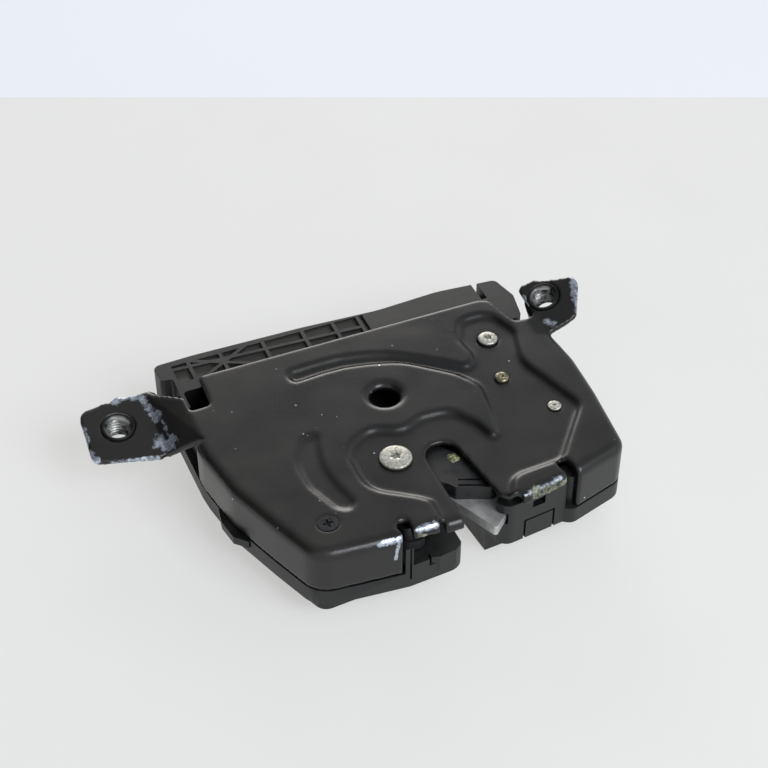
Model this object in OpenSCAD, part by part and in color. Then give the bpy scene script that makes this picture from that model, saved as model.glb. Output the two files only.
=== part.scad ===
// Tailgate latch: a pressed lock plate over a moulded housing, with a rotary catch,
// a pawl, and a worm drive that lifts the pawl.
// The plate's upper face lies in the plane z = latch_h, X runs to the right and Y to the back.

/* [Overall] */
// Height from the underside of the bottom cover to the plate's upper face
latch_h = 29; // [29:0.5:34]

/* [Lock plate] */
// Sheet thickness
sheet_t = 2.0; // [1.6:0.1:2.2]
// Depth of the sunk channels
sunk_d = 1.5; // [1:0.1:1.7]
// Depth of the shallow crescent beside the catch
crescent_d = 0.8; // [0.5:0.1:1.2]
// Width of the sloped wall round a sunk channel
slope_w = 1.8; // [1.4:0.1:2]
// Outer bend radius of the skirts
bend_r = 2.8; // [2.6:0.1:3.4]
// Depth of the skirts below the upper face
skirt_d = 15; // [12.5:0.5:15.3]
// Depth of the short lips at the mouth
lip_d = 3.9; // [3.2:0.1:4.5]
// Diameter of the guide hole
guide_d = 9; // [7:0.5:10]

/* [Ears] */
// Minor diameter of the ear threads
thread_d = 6.8; // [5:0.1:7.4]
// Outer diameter of the weld nuts
nut_d = 12.8; // [11.6:0.2:15]
// Height of the weld nuts below the ear
nut_h = 7; // [5:0.5:8]

/* [Catch and pawl] */
// Diameter of the catch rivet's shank
catch_pin_d = 8; // [6.6:0.2:8.6]
// Diameter of the pawl rivet's shank
pawl_pin_d = 6; // [5:0.2:7]
// Radial clearance of the catch and the pawl on their rivets
pivot_gap = 0.06; // [0.03:0.01:0.1]
// Thickness of the catch and pawl steel
lever_t = 3.4; // [2.8:0.1:3.5]
// Thickness of the jacket on the catch
jacket_t = 4.9; // [4.2:0.1:4.9]
// Outer radius of the catch arm
arm_r = 35.2; // [33:0.2:35.4]
// Pawl angle from the caught position to the rest position
pawl_clear = 7; // [6.5:0.5:8]

/* [Drive] */
// Tooth pitch module of the worm wheel
tooth_m = 1.0; // [0.9:0.05:1]
// Number of teeth on the worm wheel
teeth = 26; // [24:1:26]
// Thickness of the toothed rim
gear_t = 4; // [3.2:0.2:4]
// Pitch radius of the worm
worm_r = 3; // [2.8:0.1:3.2]
// Height of the flattened motor can
motor_h = 15.1; // [12:0.1:15.2]
// Length of the motor can
motor_l = 25; // [20:0.5:26]

/* [Housing] */
// Wall thickness of the mouldings
wall_t = 2.0; // [1.6:0.1:2.2]
// Height of the band below the skirts
band_h = 6; // [5:0.5:6]
// Thickness of the cover's bottom
cover_t = 1.7; // [1.4:0.1:1.9]
// Thickness of the ribs in the rear strip
rib_t = 1.2; // [1:0.1:1.6]

/* [Hidden] */
$fn = 64;
eps = 0.01;
gap = 0.3;

// Points shared by every piece, seen from above with the plate's upper face at z = 0
catch_c = [-1, -11];
pawl_c = [46.5, 26.5];
slot_c = [12.6, -14.7];
slot_r = 5.2;
stay_c = [51.7, -9];
guide_screw_c = [42.7, 8.5];
plate_screw_c = [-29, -28.5];
guide_c = [6.3, 14.3];

// Heights of the layers below the plate's upper face
jacket_top = -sheet_t - sunk_d - 0.4;
steel_top = jacket_top - jacket_t - 0.1;
steel_bottom = steel_top - lever_t;
floor_top = steel_bottom - gap;
floor_bottom = floor_top - wall_t;
cam_top = floor_bottom - 0.4;
cam_bottom = cam_top - 2.2;
gear_bottom = cam_bottom - gear_t;
shaft_z = cam_bottom - gear_t / 2;
band_top = -15.3;
band_bottom = band_top - band_h + 0.3;
underside = -latch_h;
cover_floor = underside + cover_t;

// Straight lines and arcs
function unit(v) = v / norm(v);
function wrap(a) = a - 360 * floor((a + 180) / 360);
function turn(v, a) = [v.x * cos(a) - v.y * sin(a), v.x * sin(a) + v.y * cos(a)];
function polar(c, r, a) = c + r * [cos(a), sin(a)];
function heading(v) = atan2(v.y, v.x);

// Corner i of a list of [x, y, radius] corners, as [arc centre, start angle, sweep, radius]
function corner_arc(k, i) =
    let(n = len(k), p = [k[i].x, k[i].y], a = k[(i + n - 1) % n], b = k[(i + 1) % n],
        u = unit([a.x, a.y] - p), v = unit([b.x, b.y] - p), half = acos(u * v) / 2, r = k[i][2],
        c = p + unit(u + v) * r / sin(half), l = r / tan(half),
        s = heading(p + u * l - c), e = heading(p + v * l - c))
    [c, s, wrap(e - s), r];

// Outline through corners, each rounded by its own radius
function round_path(k, step = 12) =
    [for (i = [0 : len(k) - 1])
        if (k[i][2] <= 0) [k[i].x, k[i].y]
        else let(g = corner_arc(k, i), n = max(1, ceil(abs(g[2]) / step)))
            each [for (j = [0 : n]) polar(g[0], g[3], g[1] + g[2] * j / n)]];

// Outline moved outward by d, for outlines that run counter-clockwise
function side(a, b) = let(v = unit(b - a)) [v.y, -v.x];
function shifted(p, d) =
    let(n = len(p))
    [for (i = [0 : n - 1]) let(m = side(p[(i + n - 1) % n], p[i]), q = side(p[i], p[(i + 1) % n]))
        p[i] + d * (m + q) / (1 + m * q)];

// Corners moved outward by d, with their radii grown or shrunk to match
function grown(k, d) =
    let(n = len(k), p = [for (c = k) [c.x, c.y]], s = shifted(p, d))
    [for (i = [0 : n - 1]) let(a = p[i] - p[(i + n - 1) % n], b = p[(i + 1) % n] - p[i])
        [s[i].x, s[i].y, max(0.3, k[i][2] + (cross(a, b) > 0 ? d : -d))]];

module slab(points, low, high) translate([0, 0, low]) linear_extrude(high - low) polygon(points);
module disc(c, r, low, high) translate([c.x, c.y, low]) cylinder(r = r, h = high - low);
module block(lo, hi) translate(lo) cube(hi - lo);

// Plate outline, with the mouth at the front and the notch for the rear hook
front_left = [-34.8, -36.6, 6];
front_break = [-11.4, -38.9];
right_front = [60.5, -30.4, 2.5];
plate_corners = [front_left, [front_break.x, front_break.y, 0], [-11.2, -35.6, 0.8], [-8.4, -35.6, 0.4],
    [-8.2, -38.4, 0.6], [7.5, -39, 0], [24.6, -38.6, 1.2], [30, -37.9, 20], [41.4, -35.3, 0.8], [40.6, -31, 1],
    [43.6, -31.4, 1.2], [44.4, -35, 0.4], right_front, [63.2, -8, 14], [64.2, 8, 14], [63.1, 21.5, 0.8],
    [61.4, 30.3, 0.8], [58.1, 30.7, 1.2], [54.9, 44.5, 5], [-43.2, 44.5, 1.5], [-43.6, 30.9, 1.5],
    [-50.1, 30.7, 0.4], [-49.9, 12, 12], [-46.9, -5, 14], [-40.4, -22.6, 14]];
// The bends lap over the flat sheet, so its own outline stops this far short of their lines
plate_lap = 0.3;
plate_pts = round_path(grown(plate_corners, -plate_lap));

slot_corners = [[slot_c.x - slot_r, -60, 0], [34, -60, 0], [24.6, -39.6, 2], [20.7, -36, 3], [19.7, -29, 20],
    [slot_c.x + slot_r, slot_c.y, 0], [slot_c.x - slot_r, slot_c.y, 0]];

// Mid-line of the wall round the sunk channels
sunk_corners = [[0.6, -60, 0], [21.6, -60, 0], [22.8, -38.5, 4], [27, -31.2, 6], [43.2, -30.4, 4],
    [58.8, -11.8, 5], [51.2, 12.6, 12], [55.6, 26.5, 7], [51.8, 37.3, 6], [41.6, 37.3, 4.5], [37.9, 29, 6],
    [38.9, 21, 6], [36.1, 15, 3], [27.8, 21.9, 20], [15, 31.5, 30], [0, 35.7, 40], [-17.4, 35.1, 1.9],
    [-16.8, 30.4, 1.5], [0, 31.7, 40], [17, 26.6, 20], [30.4, 14.9, 12], [35, 7.8, 7], [33.6, -2, 30],
    [29.5, -17.6, 1.35], [26.6, -7.2, 7], [21.6, 0.6, 6], [12.4, 1.4, 7], [5.4, -2, 7], [-3.4, 2.6, 7],
    [-13.6, -3, 9], [-13.6, -20, 10], [-2, -28, 8], [1.5, -31, 3]];
crescent_corners = [[-21.2, -26, 1.6], [-19, -23.6, 1.2], [-22.8, -7, 30], [-18.6, 6, 1.2], [-22.8, 6.6, 3],
    [-28.8, -2.6, 10], [-28.6, -13, 10], [-24.4, -24, 4]];

// Skirts: runs of one bent section with rounded corners between them
left_skirt = [[-50, 16.8, 0], [-49.9, 12, 12], [-46.9, -5, 14], [-40.4, -22.6, 14], front_left,
    [front_break.x, front_break.y, 0]];
right_skirt = [[44.6, -34.9, 0], right_front, [63.2, -8, 14], [64.2, 8, 14], [63.1, 20.6, 0]];
left_lip = [[-8.2, -38.4, 0], [0, -38.7, 0]];
slot_lip = [[1.6, -38.7, 0], [slot_c.x - slot_r, -38.9, 0]];
right_lip = [[25.9, -38.4, 0], [30, -37.9, 20], [41.2, -35.4, 0]];

// Points of an open line with rounded corners, and the outward side at each of them
function open_path(k) = round_path([for (i = [0 : len(k) - 1])
    i == 0 || i == len(k) - 1 ? [k[i].x, k[i].y, 0] : k[i]], 10);
function open_side(p, i) =
    let(last = len(p) - 1, m = side(p[max(i - 1, 0)], p[max(i, 1)]),
        q = side(p[min(i, last - 1)], p[min(i + 1, last)]))
    (m + q) / (1 + m * q);

// Section of a bent edge: distance out from the bend line, and height. It laps under the flat sheet.
function bend_section(depth, r) = concat(
    [[-2 * plate_lap, -sheet_t - 0.02], [-2 * plate_lap, 0], [0, 0]],
    [for (a = [72 : -18 : 18]) r * [cos(a), sin(a)] - [0, r]],
    [[r, -r], [r, -depth], [r - sheet_t, -depth], [r - sheet_t, -r]],
    [for (a = [30 : 30 : 60]) (r - sheet_t) * [cos(a), sin(a)] - [0, r]],
    [[0, -sheet_t - 0.02]]);

// The sheet bent down along a line of corners, swept as one piece
module bent_edge(k, depth, r, top = 0) {
    path = open_path(k);
    section = bend_section(depth, r);
    n = len(section);
    last = len(path) - 1;
    pts = [for (i = [0 : last]) let(o = open_side(path, i))
        each [for (q = section) [path[i].x + o.x * q.x, path[i].y + o.y * q.x, top + q.y]]];
    polyhedron(pts, concat(
        [[for (j = [0 : n - 1]) j]],
        [for (i = [0 : last - 1], j = [0 : n - 1]) let(m = (j + 1) % n)
            [i * n + j, (i + 1) * n + j, (i + 1) * n + m, i * n + m]],
        [[for (j = [n - 1 : -1 : 0]) last * n + j]]));
}

// A channel pressed into the sheet: a flat floor and a sloped wall of the sheet's own thickness
module channel(mid, depth) {
    out = shifted(mid, slope_w / 2);
    in = shifted(mid, -slope_w / 2);
    n = len(mid);
    slab(in, -depth - sheet_t, -depth);
    ring = concat([for (p = out) [p.x, p.y, 0]], [for (p = in) [p.x, p.y, -depth]],
        [for (p = in) [p.x, p.y, -depth - sheet_t]], [for (p = out) [p.x, p.y, -sheet_t]]);
    faces = [for (i = [0 : n - 1], q = [0 : 3]) let(j = (i + 1) % n, s = (q + 1) % 4)
        [q * n + i, q * n + j, s * n + j, s * n + i]];
    polyhedron(ring, [for (f = faces) [f[3], f[2], f[1], f[0]]]);
}

// Ears: flat tabs, tilted, that carry the threads for the mounting screws
left_ear_c = [-70.4, 38.2, -6];
left_ear_tilt = [11, 0, 0];
left_ear_corners = [[-10.9, -10, 3], [10.4, -15.2, 2], [15.6, 10.4, 3], [5.4, 9.9, 1.5], [3, 11.6, 2.5],
    [0.6, 9.9, 1.5], [-9.8, 9.4, 4]];
right_ear_c = [69.2, 33.5, 3.5];
right_ear_tilt = [8.5, -19.3, 0];
right_ear_corners = [[-6, -12.9, 0], [1.8, -12.8, 2.5], [5.2, -12.2, 2.5], [11.7, -1.8, 2.5], [11.9, 1.4, 2],
    [6, 4.2, 3], [2.8, 5.8, 1.5], [0.9, 7.6, 2], [-5.4, 8.4, 2]];

module on_left_ear() translate(left_ear_c) rotate(left_ear_tilt) children();
module on_right_ear() translate(right_ear_c) rotate(right_ear_tilt) children();
module ear_tab(corners) slab(round_path(corners), -sheet_t, 0);

// Outline of the housing at the bend lines of the skirts
skirt_corners = [front_left, [-9.6, -39.1, 0.5], [4.6, -38.2, 2.4], [8.4, -31.6, 1], [20.6, -31.4, 1],
    [23.6, -35.4, 1], [42.4, -33.4, 0.6], [44.6, -34.9, 0.6], right_front, [63.2, -8, 30], [64.2, 8, 30],
    [62.8, 24, 3], [58, 43.2, 3], [-50.2, 43.2, 3], [-49.9, 12, 30], [-46.9, -5, 30], [-40.4, -22.6, 30]];

// Frame: origin below the middle of the latch, level with its underside
left_x = min([for (p = round_path(left_ear_corners)) left_ear_c.x + p.x]);
right_x = max([for (p = round_path(right_ear_corners))
    right_ear_c.x + p.x * cos(right_ear_tilt.y) + p.y * sin(right_ear_tilt.x) * sin(right_ear_tilt.y)]);
rear_y = 56.8;
front_y = min([for (p = round_path(grown(skirt_corners, bend_r))) p.y]);
module placed() translate([-(left_x + right_x) / 2, -(front_y + rear_y) / 2, latch_h]) children();

module lock_plate() color("dimgray") {
    sunk = round_path(sunk_corners);
    crescent = round_path(crescent_corners);
    difference() {
        union() {
            difference() {
                slab(plate_pts, -sheet_t, 0);
                slab(shifted(sunk, slope_w / 2), -10, 1);
                slab(shifted(crescent, slope_w / 2), -10, 1);
            }
            intersection() {
                channel(sunk, sunk_d);
                slab(plate_pts, -10, 1);
            }
            channel(crescent, crescent_d);
            bent_edge(left_skirt, skirt_d, bend_r);
            bent_edge(right_skirt, skirt_d, bend_r);
            bent_edge(left_lip, lip_d, sheet_t + 0.3);
            bent_edge(slot_lip, lip_d - 0.4, sheet_t + 0.3, -sunk_d);
            bent_edge(right_lip, lip_d, sheet_t + 0.3);
            on_left_ear() ear_tab(left_ear_corners);
            hull() {
                on_left_ear() block([11, -14.5, -sheet_t], [11.8, 9.5, 0]);
                block([-50.2, 17.5, -sheet_t], [-49.6, 36.5, 0]);
            }
            on_right_ear() ear_tab(right_ear_corners);
            hull() {
                on_right_ear() block([-6, -12.8, -sheet_t], [-5, -4, 0]);
                block([61, 21.6, -sheet_t], [61.8, 29.6, 0]);
            }
        }
        slab(round_path(slot_corners), -20, 1);
        disc(slot_c, slot_r, -20, 1);
        disc(catch_c, catch_pin_d / 2, -20, 1);
        disc(pawl_c, pawl_pin_d / 2, -20, 1);
        disc(stay_c, 1.6, -20, 1);
        disc(guide_screw_c, 1.7, -20, 1);
        disc(guide_c, guide_d / 2, -20, 1);
        disc(plate_screw_c, 1.7, -20, 1);
        translate([plate_screw_c.x, plate_screw_c.y, -1.2]) cylinder(r1 = 1.7, r2 = 3.1, h = 1.4);
        on_left_ear() disc([0, 0], nut_d / 2 - 1.4, -10, 10);
        on_right_ear() disc([0, 0], nut_d / 2 - 1.4, -10, 10);
    }
}

// A weld nut with a neck through the ear
module weld_nut() color("silver") difference() {
    union() {
        disc([0, 0], nut_d / 2 - 1.42, -sheet_t - 1, 0.3);
        disc([0, 0], nut_d / 2, -sheet_t - nut_h, -sheet_t);
    }
    disc([0, 0], thread_d / 2, -30, 5);
    translate([0, 0, 0.3 - 0.9]) cylinder(r1 = thread_d / 2, r2 = thread_d / 2 + 0.9, h = 0.91);
}
module weld_nut_left() on_left_ear() weld_nut();
module weld_nut_right() on_right_ear() weld_nut();

// A rivet: shank, low domed head on the plate, formed head under the housing floor
module rivet(c, shank_r, head_r, head_h, top, low) {
    disc(c, shank_r, low, top);
    translate([c.x, c.y, top]) rotate_extrude() polygon([[0, 0], [head_r, 0], [head_r, head_h * 0.4],
        [head_r * 0.9, head_h * 0.72], [head_r * 0.6, head_h * 0.93], [head_r * 0.3, head_h], [0, head_h]]);
}
module catch_rivet() color("gray") {
    rivet(catch_c, catch_pin_d / 2, 5, 1.3, -sunk_d, well_bottom - wall_t - 1);
    disc(catch_c, catch_pin_d / 2 + 1.6, well_bottom - wall_t - 1.8, well_bottom - wall_t);
}
module pawl_rivet() color("gray") {
    rivet(pawl_c, pawl_pin_d / 2, 3.9, 1.2, -sunk_d, floor_bottom - 1);
    disc(pawl_c, pawl_pin_d / 2 + 1.4, floor_bottom - 1.5, floor_bottom);
}
module stay_rivet() color("gray") {
    rivet(stay_c, 1.6, 2.15, 0.7, -sunk_d, floor_bottom - 0.4);
    disc(stay_c, 2.6, floor_bottom - 1, floor_bottom);
}
module guide_screw() color("darkgray") difference() {
    union() {
        disc(guide_screw_c, 2.25, -sunk_d, -sunk_d + 1.1);
        disc(guide_screw_c, 1.7, -8, -sunk_d);
    }
    disc(guide_screw_c, 1, -sunk_d + 0.2, 3);
}
module plate_screw() color("black") difference() {
    union() {
        translate([plate_screw_c.x, plate_screw_c.y, -1.2]) cylinder(r1 = 1.7, r2 = 3, h = 1.3);
        disc(plate_screw_c, 1.7, -11, -1.2);
    }
    for (a = [0, 90]) translate([plate_screw_c.x, plate_screw_c.y, 0.1]) rotate(a) cube([3, 0.6, 1.4], true);
}

// Outline of the rooms inside the housing, simpler than its own
room_corners = [front_left, right_front, [63.2, -8, 30], [64.2, 8, 30], [62.8, 24, 3], [58, 43.2, 3],
    [-50.2, 43.2, 3], [-49.9, 12, 30], [-46.9, -5, 30], [-40.4, -22.6, 30]];
strip_corners = [[-49.6, 34, 2], [62.2, 34, 2], [64.4, 44.6, 2], [62.2, rear_y - 2.8, 2], [42, rear_y - 1, 20],
    [21, rear_y - 2.2, 30], [-5, rear_y - 0.7, 30], [-40, rear_y, 30], [-54, rear_y - 0.4, 2.5],
    [-53.4, 49.2, 1.5], [-49.6, 48.6, 1]];
inner_gap = bend_r - sheet_t - gap;

// Rear strip: shallow cells with cross ribs and braces at the left, a smooth face with a notch at the right
strip_top = -2.6;
cell_d = 1.4;
cell_ribs = [-43.6, -33.1, -19.1, -5.9, 4.5, 12.9, 15.4];
cell_braces = [[[-48.4, 52.6], [13, 49.2]], [[-42.6, 54.8], [-24.4, 46.2]], [[-39.6, 46.2], [-24.2, 54.8]]];
module brace(a, b) {
    o = side(a, b) * rib_t / 2;
    slab([a + o, b + o, b - o, a - o], -20, 0);
}
module strip_cells() difference() {
    block([-48.4, 46.2, strip_top - cell_d], [16.6, rear_y - 2.4, 0]);
    for (x = cell_ribs) block([x, 40, -20], [x + rib_t, 60, 0]);
    for (b = cell_braces) brace(b[0], b[1]);
}

// Cheeks of the mouth, flush with the band: a window and a snap panel at the right, a lug at the left
cheek_top = -5.4;
window_x = [30.7, 34.9];
panel_x = [28, 38.6];
lug = [[-2.8, -34], [-2.8, -41], [-0.4, -41.7], [5, -41], [7.2, -38.6], [7.4, -34]];
function cheek_y(x) = let(p = grown(skirt_corners, bend_r), a = p[5], b = p[6])
    a.y + (x - a.x) * (b.y - a.y) / (b.x - a.x);
module cheeks() {
    intersection() {
        slab(round_path(grown(skirt_corners, bend_r)), band_top - eps, cheek_top);
        union() {
            block([20.3, -60, -40], [42, -31, 0]);
            block([front_break.x + gap, -60, -40], [-3.6, -34, 0]);
        }
    }
    hull() {
        slab(lug, band_top - 3, -9.4);
        slab(shifted(lug, -1.8), band_top - 3, cheek_top);
    }
}
module cheek_cuts() {
    block([window_x[0], -60, -9.4], [window_x[1], -34, -5.9]);
    block([front_break.x + 1.6, -60, -18], [front_break.x + 2.2, -40.9, 0]);
    difference() {
        slab([[panel_x[0], -60], [panel_x[1], -60], [panel_x[1], cheek_y(panel_x[1]) + 0.8],
            [panel_x[0], cheek_y(panel_x[0]) + 0.8]], -30, -13.4);
        block([panel_x[0] + 0.7, -60, -40], [panel_x[1] - 0.7, -30, -14.1]);
    }
}

// Drive layout: the worm lies behind the wheel, with its motor to the left
wheel_c = [32.2, 3.2];
worm_y = wheel_c.y + tooth_m * teeth / 2 + worm_r;
motor_x0 = -28;
motor_x1 = motor_x0 + motor_l;
motor_w = 20.1;
shaft_r = 1;
bush_x = 43;
bush_r = 2.1;
axle_r = 1.5;

// Pawl and cam: the pin on the pawl rides on a snail cam of constant rise
pin_reach = 26;
pin_heading = -104;
pin_r = 2.5;
cam_ratio = 0.07;
pawl_lift = 4;
spring_wire = 1.6;
catch_spring_r = 5.5;
well_r = catch_spring_r + spring_wire / 2 + 0.6;
well_bottom = floor_bottom - 4;
hook_r = 27.6;
jacket_r = 31.4;
switch_size = [12.8, 6.4, 5.8];
switch_cam_r = 13.4;
plunger_reach = 2;
catch_switch_x = catch_c.x - switch_cam_r - gap - plunger_reach;
pawl_face_x = 38.8;
plunger_y = 32.5;

module motor_room(extra, low, high) {
    block([motor_x0 - 2 - extra, worm_y - motor_w / 2 - extra, low],
        [motor_x1 + 2 + extra, worm_y + motor_w / 2 + extra, high]);
}

// The way of the striker: from the mouth to the round end of the slot
module striker_way(extra, low, high) {
    way = [[slot_c.x - slot_r, -60, 0], [26, -60, 0], [19.2, -31, 3], [slot_c.x + slot_r, slot_c.y, 4],
        [slot_c.x + slot_r, slot_c.y + slot_r, 5], [slot_c.x - slot_r, slot_c.y + slot_r, 5]];
    slab(round_path(grown(way, extra)), low, high);
}

// A band of arc between two headings
module arc_slot(c, r0, r1, a0, a1, low, high) {
    steps = 12;
    slab([for (i = [0 : steps]) polar(c, r1, a0 + (a1 - a0) * i / steps),
        each [for (i = [steps : -1 : 0]) polar(c, r0, a0 + (a1 - a0) * i / steps)]], low, high);
}

module housing_shell() {
    slab(round_path(grown(skirt_corners, bend_r)), band_bottom, band_top);
    slab(round_path(grown(skirt_corners, inner_gap)), band_top - eps, -4.4);
    slab(round_path(strip_corners), band_top - 3, strip_top);
    slab([[-51, 5], [-52.2, -2], [-51, -9], [-47.5, -12.5], [-44, -5]], band_top - 3.2, band_top - 0.4);
    block([-48.2, 32, -4.5], [-44.9, 41, -0.6]);
    cheeks();
}

module housing_rooms() {
    room = round_path(grown(room_corners, inner_gap - wall_t));
    slab(room, floor_top, 0);
    slab(room, -40, floor_bottom);
    strip_cells();
    block([54, 46.6, -8], [56, 60, 0]);
    block([-47.3, 45.2, -40], [52, rear_y - 4.4, strip_top - cell_d - 1.6]);
}

module housing() color("darkslategray") difference() {
    union() {
        difference() {
            housing_shell();
            housing_rooms();
        }
        intersection() {
            striker_way(wall_t, band_bottom, floor_top);
            slab(round_path(grown(skirt_corners, bend_r)), -40, 0);
        }
        disc(catch_c, well_r + wall_t, well_bottom - wall_t, floor_bottom + eps);
        motor_room(wall_t, band_bottom, shaft_z + motor_h / 2 + gap + 1.6);
        disc(stay_c, 3.6, floor_bottom, floor_top + eps);
        disc(plate_screw_c, 3.6, floor_top - eps, -2.4);
        block([catch_switch_x - switch_size.x, catch_c.y - 3.2, floor_top - eps],
            [catch_switch_x, catch_c.y + 3.2, -3.8 - switch_size.z]);
        block([bush_x, worm_y - 2.8, shaft_z - 2.2], [bush_x + 3.2, worm_y + 2.8, floor_bottom + eps]);
        disc(wheel_c, 3.4, floor_bottom - 0.3, floor_top);
    }
    cheek_cuts();
    striker_way(0, -40, 0);
    motor_room(gap, -40, shaft_z + motor_h / 2 + gap);
    along_shaft(motor_x1) cylinder(r = shaft_r + gap, h = 8);
    disc(catch_c, catch_pin_d / 2, -40, 0);
    disc(catch_c, well_r, well_bottom, 0);
    disc(pawl_c, pawl_pin_d / 2, -40, 0);
    intersection() {
        disc(catch_c, arm_r + 0.6, floor_top, steel_top + gap);
        block([slot_c.x, -60, -40], [60, 60, 0]);
    }
    disc(catch_c, jacket_r + 0.4, floor_top, 0);
    disc(stay_c, 1.6, -40, 0);
    disc(plate_screw_c, 1.7, -11, 0);
    disc(wheel_c, axle_r, -60, floor_top - 0.8);
    arc_slot(pawl_c, pin_reach - pin_r - 0.6, pin_reach + pin_r + 0.6, pin_heading - 8,
        pin_heading + pawl_clear + pawl_lift + 8, -40, 0);
    along_shaft(bush_x - 1) cylinder(r = bush_r, h = 6);
    block([bush_x - 1, worm_y - bush_r + 0.1, -40], [bush_x + 5, worm_y + bush_r - 0.1, shaft_z]);
}

module bottom_cover() color("darkslategray") difference() {
    union() {
        difference() {
            slab(round_path(grown(room_corners, -2)), underside, band_bottom);
            slab(round_path(grown(room_corners, -2 - wall_t)), cover_floor, 0);
        }
        intersection() {
            striker_way(wall_t, underside, band_bottom);
            slab(round_path(grown(room_corners, -2)), -60, 0);
        }
        disc(wheel_c, 3.6, cover_floor - eps, gear_bottom - gap);
        for (x = [motor_x0 + 4, motor_x1 - 6])
            block([x, worm_y - 8, cover_floor - eps], [x + 2, worm_y + 8, shaft_z - motor_h / 2 - 0.05]);
        socket_shroud();
        for (c = screw_places) disc(c, 3.4, cover_floor - eps, band_bottom);
    }
    striker_way(0, -60, 0);
    disc(wheel_c, axle_r, cover_floor, 0);
    block([socket_x0 + 1.4, 45, socket_z0 + 1.2], [socket_x0 + 17.4, rear_y - 1, socket_z0 + 5.8]);
    block([socket_x0 + 1.4, 48, socket_z0 + 1.2], [socket_x0 + 17.4, rear_y + 3, socket_z0 + 5.8]);
    for (c = screw_places) {
        disc(c, 1.25, -60, 0);
        disc(c, 2.6, -60, underside + 1.2);
    }
    pins();
    strips();
}

socket_x0 = -18;
socket_z0 = underside + 0.6;
module socket_shroud() {
    block([socket_x0, 36, socket_z0], [socket_x0 + 18.8, rear_y - 1, socket_z0 + 7]);
}
screw_places = [[-33, -25], [-42, 36], [52, 34], [54, -22]];

module cover_screws() color("gray") for (c = screw_places) difference() {
    union() {
        disc(c, 1.25, underside + 1.2, band_bottom - 1);
        disc(c, 2.5, underside + 0.1, underside + 1.2);
    }
    disc(c, 1, -60, underside + 0.8);
}

// Catch, drawn open. Corners are measured from its pivot.
function from_catch(k) = [for (c = k) [c.x + catch_c.x, c.y + catch_c.y, c[2]]];
catch_corners = from_catch([[18.4, -30.1, 0.8], [26.9, -22.8, 3], [26.4, -14, 8], [20, -4, 8], [12, 6, 8],
    [4, 12.4, 6], [-8, 11.4, 6], [-12.6, 3, 6], [-13.4, -9, 6], [-11.6, -20.4, 4], [-8, -25.4, 3],
    [-1.6, -26.4, 3], [0.4, -12.6, 5.4], [9.6, -11.6, 5.2], [13, -18.3, 8]]);
catch_pts = round_path(catch_corners);
jacket_corners = from_catch([[23.8, -20, 2], [25, -13, 7], [19.4, -4, 8], [11.8, 6, 8], [4, 12.2, 6],
    [-8, 11.2, 6], [-12.2, 3, 6], [-13, -9, 6], [-11.2, -20, 4], [-8, -24.6, 3], [-2.6, -25.6, 3],
    [-0.2, -12, 5.6], [9.8, -11, 5.2], [12.2, -15.2, 1]]);

// Two slits in the jacket run beside the ledge over the bare arm
ledge = [[11.2, -26.2], [22.8, -31]];
slit_w = 0.7;
slit_starts = [0.5, 2.8];
module ledge_slits() {
    d = unit(ledge[1] - ledge[0]);
    n = -side(ledge[0], ledge[1]);
    for (o = slit_starts) slab([for (q = [[0.8, 0], [11.4, 0], [11.4, slit_w], [0.8, slit_w]])
        ledge[0] + d * q.x + n * (o + q.y)], jacket_top - 2, 0);
}

module catch_core() color("silver") difference() {
    slab(catch_pts, steel_bottom, steel_top);
    disc(catch_c, catch_pin_d / 2 + pivot_gap, -40, 0);
}

module catch_jacket() color("black") difference() {
    union() {
        slab(round_path(jacket_corners), steel_top, jacket_top);
        slab([catch_c, for (a = [106 : 6 : 190]) polar(catch_c, switch_cam_r + (180 - a) / 60, a)],
            steel_top, jacket_top);
    }
    disc(catch_c, catch_pin_d / 2 + 0.4, -40, 0);
    ledge_slits();
}

// Pawl. Corners are given in the caught position, and the pawl rests turned clear of the catch.
module as_rested() translate([pawl_c.x, pawl_c.y]) rotate(pawl_clear) translate([-pawl_c.x, -pawl_c.y])
    children();
pawl_corners = [[30.8, -16.2, 1.2], [40.4, -17.2, 2.5], [42, -8, 20], [49.4, 12, 12], [54.6, 20, 6],
    [53.6, 34.4, 7], [pawl_face_x, 35.4, 3], [pawl_face_x, 24, 20], [35.5, -2, 12], [35.4, -10.4, 1],
    [30.8, -10.4, 0.8]];
module pawl() color("silver") as_rested() difference() {
    slab(round_path(pawl_corners), steel_bottom, steel_top);
    disc(pawl_c, pawl_pin_d / 2 + pivot_gap, -40, 0);
    disc(polar(pawl_c, pin_reach, pin_heading), pin_r - 0.5, -40, 0);
}
module release_pin() color("gray") as_rested() {
    p = polar(pawl_c, pin_reach, pin_heading);
    disc(p, pin_r - 0.5, steel_bottom - 0.2, steel_top + 0.4);
    disc(p, pin_r, cam_bottom + 0.2, steel_bottom - 0.05);
}

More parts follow.
